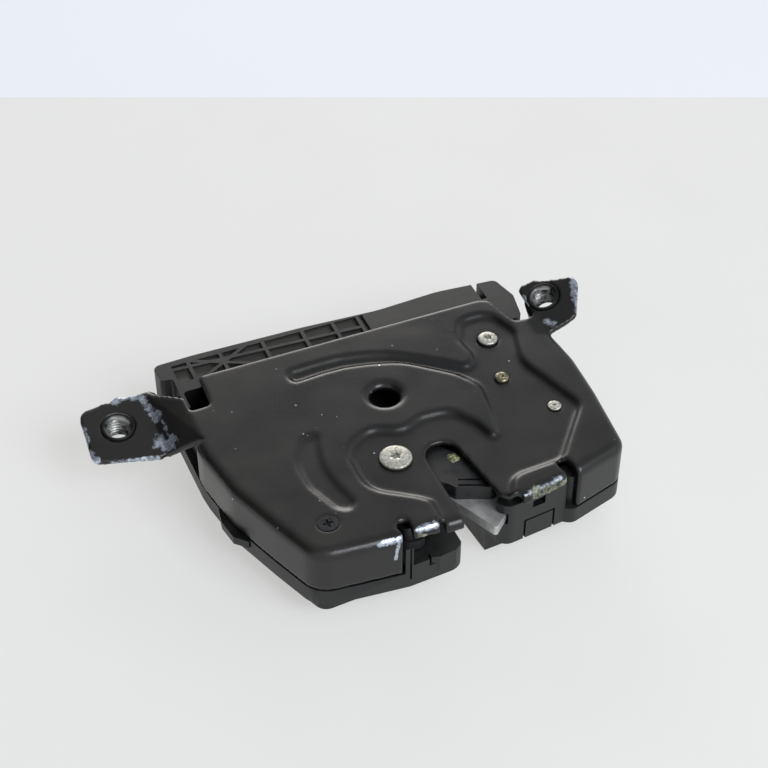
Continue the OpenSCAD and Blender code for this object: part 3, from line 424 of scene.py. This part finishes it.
# Marks on the sheet. Each stretch has its two ends in the drawing, or on its ear, then its
# reach and its strength.
WEAR_AND_HIGHLIGHT = [
    # Front edges beside the slot
    ((-6.5, -40.4, -0.4), (-1.5, -40.3, -0.3), 2.4, 0.8),
    ((-3.0, -40.6, -0.6), (8.6, -40.2, -0.7), 1.3, 0.8),
    ((28.5, -39.6, -0.6), (38.5, -37.6, -0.6), 2.2, 0.8),
    ((25.0, -39.6, -0.5), (29.0, -40.0, -0.6), 1.1, 0.7),
    # Front flange, towards the left: its edge and one scratch down it
    ((-22.0, -40.6, -1.0), (-11.8, -41.2, -1.0), 1.5, 0.7),
    ((-18.0, -40.8, -1.0), (-11.8, -41.2, -1.2), 1.9, 0.95),
    ((-13.2, -41.5, -1.4), (-14.0, -41.5, -8.0), 0.95, 1.0),
    # Rear edge, where bare steel paints the highlight along its rounded edge, and the round end of the slot
    ((-40.0, 44.4, -0.2), (-30.0, 44.4, -0.2), 1.2, 0.62),
    ((-30.0, 44.5, -0.2), (48.0, 44.3, -0.2), 0.7, 0.5),
    ((8.4, -11.0, -0.5), (17.0, -11.6, -0.5), 1.0, 0.5),
]
EAR_WEAR_AND_HIGHLIGHT_LEFT = [
    ((-11.0, 1.8, 0), (-11.2, -1.2, 0), 3.4, 0.95),
    ((-10.9, -6.6, 0), (-10.2, -9.4, 0), 3.0, 0.92),
    ((-11.2, -9.8, 0), (-11.2, 9.4, 0), 1.0, 0.62),
    # Back edge: bare steel here paints the highlight on its rounded edge
    ((2.0, 9.8, 0), (8.6, 9.9, 0), 3.4, 0.78),
    ((-3.0, 9.8, 0), (2.0, 9.8, 0), 1.6, 0.7),
    ((9.6, 9.4, 0), (11.6, -2.0, 0), 2.7, 0.76),
    ((9.6, -9.4, 0), (12.4, -12.4, 0), 5.0, 0.78),
    ((12.6, -1.6, 0), (12.6, -9.0, 0), 1.4, 0.66),
    ((-8.0, -11.0, 0), (8.0, -14.4, 0), 1.3, 0.7),
]
EAR_WORN_RIGHT = [
    ((6.6, -11.4, 0), (12.0, 0.8, 0), 3.0, 0.78),
    ((-4.0, -8.6, 0), (-2.6, -11.4, 0), 2.4, 0.76),
    ((-5.8, 0.6, 0), (-5.6, 3.4, 0), 2.4, 0.76),
    ((6.0, 4.4, 0), (12.0, 1.6, 0), 1.6, 0.62),
]
STAINED = [
    ((29.5, -38.8, -1.6), (39.6, -36.8, -2.8), 2.6, 0.85),
    ((-6.4, -41.0, -2.2), (-5.0, -41.0, -3.0), 1.4, 0.8),
]
# Painted reflection of the table on the left flange, drawn as a brownish dust tone
FLANGE_REFLECTION = [((-52.5, 16.0, -10.0), (-50.6, 0.0, -10.0), 9.0, 0.64)]
# Thin dust all over, from none at the right to this at the left
THIN_DUST = 0.03
THIN_DUST_X = 45
THIN_DUST_WIDTH = 90
# Beyond these the sheet is an ear, as far as this from the ear's own face
LEFT_EAR_X = -55
RIGHT_EAR_X = 61.5
EAR_REACH = 4
# The larger chips: where they may lie, their radii, and the level that none lies below
CHIP_COUNT = 16
CHIP_X = (-46, 10)
CHIP_Y = (-30, 40)
CHIP_SIZES = [0.6, 0.7, 0.9]
CHIP_STRENGTH = 0.9
CHIPS_Z = -2.6
# The sheet's mesh is made of cells of this size, in metres
SHEET_GRID = 0.00062
# The guide hole's drawn rim: where it begins and how far it dips
RIM_R = 7.6
RIM_DIP = 0.9
# Pressed sheet is never quite flat: how high and how long its waves are
WAVE = 0.05
WAVE_LENGTH = 9


def near(p, a, b):
    """Distance in millimetres from a point to the stretch from a to b."""
    start = Vector(a)
    way = Vector(b) - start
    share = max(0.0, min(1.0, (p - start).dot(way) / max(way.length_squared, 1e-9)))
    return (p - start - way * share).length


def strength(p, stretches):
    """How strong a mark is at a point: full on its stretch, and none past its reach."""
    return max(max(0.0, 1 - near(p, a, b) / reach) ** 0.6 * level for a, b, reach, level in stretches)


def chip_places():
    """Places and sizes of the larger chips in the paint."""
    draw = random.Random(7)
    chips = []
    for i in range(CHIP_COUNT):
        chips.append((draw.uniform(*CHIP_X), draw.uniform(*CHIP_Y), draw.choice(CHIP_SIZES)))
    return chips


def softened_sheet():
    """The lock plate's mesh, made even and soft at its edges, as pressed sheet is."""
    sheet = bpy.data.objects.new("sheet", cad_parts["lock_plate"].data.copy())
    bpy.context.scene.collection.objects.link(sheet)
    weld = sheet.modifiers.new("weld", "WELD")
    weld.merge_threshold = WELD_REACH
    remesh = sheet.modifiers.new("remesh", "REMESH")
    remesh.mode = "VOXEL"
    remesh.voxel_size = SHEET_GRID
    soften = sheet.modifiers.new("soften", "SMOOTH")
    soften.factor = 0.5
    soften.iterations = 4
    return applied(sheet)


def pressed(p):
    """A point of the sheet, with the guide hole's drawn rim and the slight waves."""
    r = math.hypot(p.x - GUIDE_C[0], p.y - GUIDE_C[1])
    if r < RIM_R:
        p.z -= RIM_DIP * ((RIM_R - max(r, GUIDE_R)) / (RIM_R - GUIDE_R)) ** 2
    p.z += WAVE * noise.noise(p / WAVE_LENGTH)
    return p


def bare_and_highlit_level(p, place, ears, chips):
    """How far the paint is gone at a point of the drawing at that place, painted edge highlights included.
    """
    level = strength(p, WEAR_AND_HIGHLIGHT)
    if p.x < LEFT_EAR_X or p.x > RIGHT_EAR_X:
        for inverse, stretches in ears:
            q = inverse @ place * 1000
            if abs(q.z) < EAR_REACH:
                level = max(level, strength(Vector((q.x, q.y, 0)), stretches))
    if p.z > CHIPS_Z:
        for x, y, size in chips:
            if abs(p.x - x) < size and abs(p.y - y) < size:
                level = max(level, CHIP_STRENGTH * (1 - math.hypot(p.x - x, p.y - y) / size))
    return level


def sheet_piece():
    """The lock plate as one smooth pressed sheet: drawn rim, chips, wear, painted highlights and
    reflection.
    """
    mesh = softened_sheet()
    chips = chip_places()
    ears = [
        (tilted(*LEFT_EAR).inverted(), EAR_WEAR_AND_HIGHLIGHT_LEFT),
        (tilted(*RIGHT_EAR).inverted(), EAR_WORN_RIGHT),
    ]
    wear_and_highlight, stained, dust_and_reflection_mark = [], [], []
    for v in mesh.vertices:
        p = pressed(v.co * 1000 - DRAWING)
        v.co = (p + DRAWING) / 1000
        wear_and_highlight.append(bare_and_highlit_level(p, v.co, ears, chips))
        stained.append(strength(p, STAINED))
        thin = THIN_DUST * min(1.0, max(0.0, (THIN_DUST_X - p.x) / THIN_DUST_WIDTH))
        dust_and_reflection_mark.append(strength(p, FLANGE_REFLECTION) ** 2 + thin)
    mark(mesh, "wear_and_highlight", wear_and_highlight)
    mark(mesh, "stained", stained)
    mark(mesh, "dust_and_reflection_mark", dust_and_reflection_mark)
    return piece("pressed_sheet", mesh, painted_sheet, "latch_body", "lock_plate")


# Points in each row of a turned mesh
STEPS = 72


def plain(r, z):
    """A round row of a turned mesh, in millimetres."""
    return lambda a: (r, z)


def turned(rows):
    """A closed mesh from rows round an axis. A row gives a radius and a height for an angle."""
    made = bmesh.new()
    rings = []
    for row in rows:
        ring = []
        for i in range(STEPS):
            a = math.tau * i / STEPS
            r, z = row(a)
            ring.append(made.verts.new((r * math.cos(a) / 1000, r * math.sin(a) / 1000, z / 1000)))
        rings.append(ring)
    for lower, upper in zip(rings, rings[1:] + rings[:1]):
        for i in range(STEPS):
            j = (i + 1) % STEPS
            made.faces.new((lower[i], lower[j], upper[j], upper[i]))
    bmesh.ops.remove_doubles(made, verts=made.verts, dist=1e-7)
    bmesh.ops.delete(made, geom=[e for e in made.edges if not e.link_faces], context="EDGES")
    bmesh.ops.recalc_face_normals(made, faces=made.faces)
    mesh = bpy.data.meshes.new("turned")
    made.to_mesh(mesh)
    made.free()
    return mesh


def thread_nut(name, node, ear):
    """A weld nut with a real M8 thread in it. Heights are from the ear's upper face."""
    pitch, depth, minor = 1.25, 0.62, 3.4
    foot, foot_r, mouth_r, mouth = -9, 4.2, 4.25, 0.3
    neck_r, body_r = 4.98, 6.4
    thread_foot, thread_step, thread_rows = -8.5, 0.1, 78
    bore_r = 4.12

    def wall(z):
        return lambda a: (minor + depth * (0.5 - 0.5 * math.cos(math.tau * (z / pitch) - a)), z)

    thread = [wall(thread_foot + thread_step * i) for i in range(thread_rows)]
    rows = [plain(foot_r, foot), *thread, plain(mouth_r, mouth)]
    rows += [plain(neck_r - 0.08, mouth), plain(neck_r, mouth - 0.1), plain(neck_r, -SHEET_T)]
    rows += [plain(body_r - 0.2, -SHEET_T), plain(body_r, -SHEET_T - 0.2)]
    rows += [plain(body_r, foot + 0.5), plain(body_r - 0.5, foot)]
    mesh = turned(rows)
    mark(mesh, "bore", [float(math.hypot(v.co.x, v.co.y) * 1000 < bore_r) for v in mesh.vertices])
    mesh.transform(tilted(*ear))
    return piece(name, mesh, nut_steel, "latch_body", node)


# A crowned head, from its middle to its foot: shares of its radius and of its height
CROWN = ((0.5, 0.98), (0.7, 0.94), (0.84, 0.84), (0.93, 0.7), (0.98, 0.52), (1.0, 0.35), (1.0, 0))
LOBES = 6
# How dark the painted shade is round the foot of a head and in its recess
FOOT_SHADE = 0.85
RECESS_SHADE = 0.6


def headed(node, centre, head, shank, foot, recess, material):
    """A rivet or screw with a crowned head and a lobed recess in it, in millimetres.

    The head has a radius and a height, the shank a radius and an end, the foot a radius, a top
    and an end, and the recess a radius, the swing of its lobes and a depth. A foot no wider
    than the shank is none.
    """
    head_r, head_h = head
    shank_r, shank_end = shank
    foot_r, foot_top, foot_end = foot
    recess_r, swing, deep = recess
    seat = -SUNK_D
    crest = seat + head_h

    def rim(share, z):
        return lambda a: ((recess_r + swing * math.cos(LOBES * a)) * share, z)

    rows = [plain(0, crest - deep), rim(0.5, crest - deep), rim(0.92, crest - deep)]
    rows += [rim(1, crest - 0.05), rim(1.08, crest)]
    rows += [plain(head_r * share, seat + head_h * height) for share, height in CROWN]
    rows += [plain(shank_r, seat), plain(shank_r, foot_top), plain(foot_r, foot_top)]
    rows += [plain(foot_r, foot_end), plain(shank_r, foot_end)]
    rows += [plain(shank_r, shank_end), plain(0, shank_end)]
    mesh = turned(rows)

    # Painted shade round the foot of the head and in the recess
    painted_shade = []
    for v in mesh.vertices:
        r, z = math.hypot(v.co.x, v.co.y) * 1000, v.co.z * 1000
        at_foot = r > 0.96 * head_r and seat - 0.1 < z < seat + 0.55 * head_h
        in_recess = r < recess_r + swing + 0.05 and z < crest - 0.04
        painted_shade.append(FOOT_SHADE if at_foot else RECESS_SHADE if in_recess else 0.0)
    mark(mesh, "painted_shade", painted_shade)
    mesh.transform(Matrix.Translation(mm(*centre)))
    return piece(node + "_head", mesh, material, "latch_body", node)


def grease_dab():
    """The lump of grease on the catch's jacket: a wrinkled mound with an uneven edge."""
    centre = (15.6, -15.0, JACKET_TOP)
    size, height = 1.9, 0.6
    uneven, wrinkled, sunk = 0.45, 0.8, 0.05
    edge_waves, top_waves = 1.3, 1.1
    edge_seed = Vector((3.0, 0, 0))
    top_seed = Vector((0, 3.0, 0))
    rings, steps = 14, 48
    made = bmesh.new()
    last = [made.verts.new((0, 0, height / 1000))] * steps
    for k in range(1, rings + 1):
        share = k / rings
        ring = []
        for i in range(steps):
            a = math.tau * i / steps
            way = Vector((math.cos(a), math.sin(a), 0))
            edge = size * (1 + uneven * noise.noise(way * edge_waves + edge_seed))
            p = way * edge * share
            z = height * (1 - share**2) * (1 + wrinkled * noise.noise(p * top_waves + top_seed))
            ring.append(made.verts.new((p.x / 1000, p.y / 1000, (z - sunk * share) / 1000)))
        for i in range(steps):
            j = (i + 1) % steps
            corners = (last[i], last[j], ring[j], ring[i])
            if k == 1:
                corners = (last[i], ring[j], ring[i])
            made.faces.new(corners)
        last = ring
    made.faces.new(list(reversed(last)))
    bmesh.ops.recalc_face_normals(made, faces=made.faces)
    mesh = bpy.data.meshes.new("grease_dab")
    made.to_mesh(mesh)
    made.free()
    mesh.transform(Matrix.Translation(mm(*centre)))
    return piece("grease_dab", mesh, grease, "catch")


sheet_piece()
thread_nut("threaded_nut_left", "weld_nut_left", LEFT_EAR)
thread_nut("threaded_nut_right", "weld_nut_right", RIGHT_EAR)
headed(
    "catch_rivet",
    CATCH_C,
    head=(5.0, 1.3),
    shank=(4.0, -22.4),
    foot=(5.6, -20.6, -22.4),
    recess=(1.25, 0.2, 0.35),
    material=rivet_steel,
)
headed(
    "pawl_rivet",
    PAWL_C,
    head=(3.2, 1.2),
    shank=(3.0, -16.1),
    foot=(4.4, -14.6, -16.1),
    recess=(1.1, 0.18, 0.35),
    material=rivet_steel,
)
headed(
    "stay_rivet",
    STAY_C,
    head=(2.15, 0.7),
    shank=(1.6, -15.6),
    foot=(2.6, -14.6, -15.6),
    recess=(0.5, 0.05, 0.2),
    material=rivet_steel,
)
headed(
    "guide_screw",
    GUIDE_SCREW_C,
    head=(2.25, 1.1),
    shank=(1.7, -8.0),
    foot=(1.7, -8.0, -8.0),
    recess=(0.8, 0.12, 0.8),
    material=passivated_steel,
)
grease_dab()

# Moulded and cut edges are never sharp: they get a small round, in millimetres
EDGE_ROUNDS = {"housing": 0.25, "bottom_cover": 0.3, "catch_jacket": 0.25, "catch_core": 0.25}
for name, width in EDGE_ROUNDS.items():
    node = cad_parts[name]
    weld = node.modifiers.new("weld", "WELD")
    weld.merge_threshold = WELD_REACH
    edge = node.modifiers.new("edge", "BEVEL")
    edge.width = width / 1000
    edge.segments = 2
    edge.limit_method = "ANGLE"
    edge.angle_limit = math.radians(40)

# Camera, at the photograph's angle
VIEW_TURN = math.radians(23)
VIEW_DROP = math.radians(42)
LENS = 79.69
AIM_RISE = 0.01353
AIM_DISTANCE = 0.5
across = Vector((math.cos(VIEW_TURN), -math.sin(VIEW_TURN), 0))
away = Vector((math.sin(VIEW_TURN), math.cos(VIEW_TURN), 0))
up = Vector((0, 0, 1))
ahead = away * math.cos(VIEW_DROP) - up * math.sin(VIEW_DROP)
above = away * math.sin(VIEW_DROP) + up * math.cos(VIEW_DROP)
camera = bpy.data.objects.new("camera", bpy.data.cameras.new("camera"))
bpy.context.scene.collection.objects.link(camera)
camera.data.lens = LENS
camera.data.clip_start = 0.01
turn = Matrix((across, above, -ahead)).transposed().to_4x4()
camera.matrix_world = Matrix.Translation(mm(0, 0, 0) + above * AIM_RISE - ahead * AIM_DISTANCE) @ turn
bpy.context.scene.camera = camera

# Stage, in metres: how far it reaches, where the table ends behind the object, and how far it
# lies below the object's underside, so that the two aren't in one plane
STAGE_REACH = 3
TABLE_END = 0.219
STAGE_DROP = 0.0001
# The stage's plain tone: how bright it is, and its share of what a view shows
TONE_STRENGTH = 1.02
TONE_SHARE = 0.6
# The lamps point at this place, in metres
LAMP_AIM = Vector((0, 0, 0.02))


def ground(name, near_edge, far_edge, material):
    """A flat stretch of the stage, square to the view."""
    corners = []
    for x, y in ((-1, near_edge), (1, near_edge), (1, far_edge), (-1, far_edge)):
        corners.append(tuple(across * (x * STAGE_REACH) + away * y - up * STAGE_DROP))
    mesh = bpy.data.meshes.new(name)
    mesh.from_pydata(corners, [], [(0, 1, 2, 3)])
    mesh.materials.append(material)
    made = bpy.data.objects.new(name, mesh)
    bpy.context.scene.collection.objects.link(made)
    return made


def stage_paint(name, low, high, spread_mm):
    """A dull paint. Part of what a view shows of it is its plain tone, so shadows stay light."""
    made, tree, shader, place = finish(name, low, 0.7)
    cloud = add(tree, "TexNoise", Vector=place, Scale=grain(spread_mm), Detail=5.0).outputs["Fac"]
    tone = add(tree, "Mix", COLOURS, i0=cloud, i6=srgb(low), i7=srgb(high)).outputs[2]
    tree.links.new(tone, shader.inputs["Base Color"])
    glow = add(tree, "Emission", Color=tone, Strength=TONE_STRENGTH).outputs[0]
    rays = add(tree, "LightPath").outputs
    seen = add(tree, "Math", MAXIMUM, i0=rays["Is Camera Ray"], i1=rays["Is Glossy Ray"]).outputs[0]
    share = add(tree, "Math", MULTIPLY, i0=seen, i1=TONE_SHARE).outputs[0]
    both = add(tree, "MixShader", i0=share, i1=shader.outputs[0], i2=glow).outputs[0]
    tree.links.new(both, tree.nodes["Material Output"].inputs["Surface"])
    return made


# Painted table top: pale, dull and a little warm. Beyond it a plain cool white.
table_paint = stage_paint("table_paint", "#e7e7e5", "#ecedea", 60)
ground("table_top", -STAGE_REACH, TABLE_END, table_paint)
far_paint = stage_paint("far_paint", "#eef2f9", "#f0f4fb", 200)
ground("far_ground", TABLE_END, STAGE_REACH, far_paint)


def lamp(name, place, size, power, colour):
    """A soft square lamp that points at the object. Its size is in metres, its power in watts."""
    light = bpy.data.lights.new(name, "AREA")
    light.size = size
    light.energy = power
    light.color = srgb(colour)[:3]
    made = bpy.data.objects.new(name, light)
    bpy.context.scene.collection.objects.link(made)
    made.location = place
    made.rotation_euler = (LAMP_AIM - Vector(place)).to_track_quat("-Z", "Y").to_euler()
    return made


lamp("window", across * 0.75 - away * 0.75 + up * 0.95, 0.7, 13, "#f2f6ff")
lamp("room", away * 1.5 - across * 0.1 + up * 0.42, 0.8, 8, "#fffaf4")


def room_light():
    """Light from all round: brighter near the horizon and towards the front right.

    A dark corner up at the left gives the plate's left bend its dark band.
    """
    room = bpy.data.worlds.new("room_light")
    bpy.context.scene.world = room
    room.use_nodes = True
    tree = room.node_tree
    way = add(tree, "TexCoord").outputs["Generated"]
    height = add(tree, "SeparateXYZ", Vector=way).outputs["Z"]
    by_height = {"From_Min": 0.3, "From_Max": 1.0, "To_Min": 0.86, "To_Max": 0.55}
    height = add(tree, "MapRange", Value=height, **by_height).outputs[0]
    bright_way = tuple(across * 0.35 - away * 0.45)
    side = add(tree, "VectorMath", DOT_PRODUCT, i0=way, i1=bright_way).outputs["Value"]
    by_side = {"From_Min": -0.5, "From_Max": 0.3, "To_Min": 0.62, "To_Max": 1.05}
    side = add(tree, "MapRange", Value=side, **by_side).outputs[0]
    dark_way = tuple(up * 0.48 - across * 0.88)
    corner = add(tree, "VectorMath", DOT_PRODUCT, i0=way, i1=dark_way).outputs["Value"]
    by_corner = {"From_Min": 0.68, "From_Max": 0.9, "To_Min": 1.0, "To_Max": 0.12}
    corner = add(tree, "MapRange", Value=corner, **by_corner).outputs[0]
    level = add(tree, "Math", MULTIPLY, i0=height, i1=side).outputs[0]
    level = add(tree, "Math", MULTIPLY, i0=level, i1=corner).outputs[0]
    background = tree.nodes["Background"]
    background.inputs["Color"].default_value = srgb("#f3f6fa")
    tree.links.new(level, background.inputs["Strength"])


room_light()
bpy.context.scene.view_settings.view_transform = "Standard"
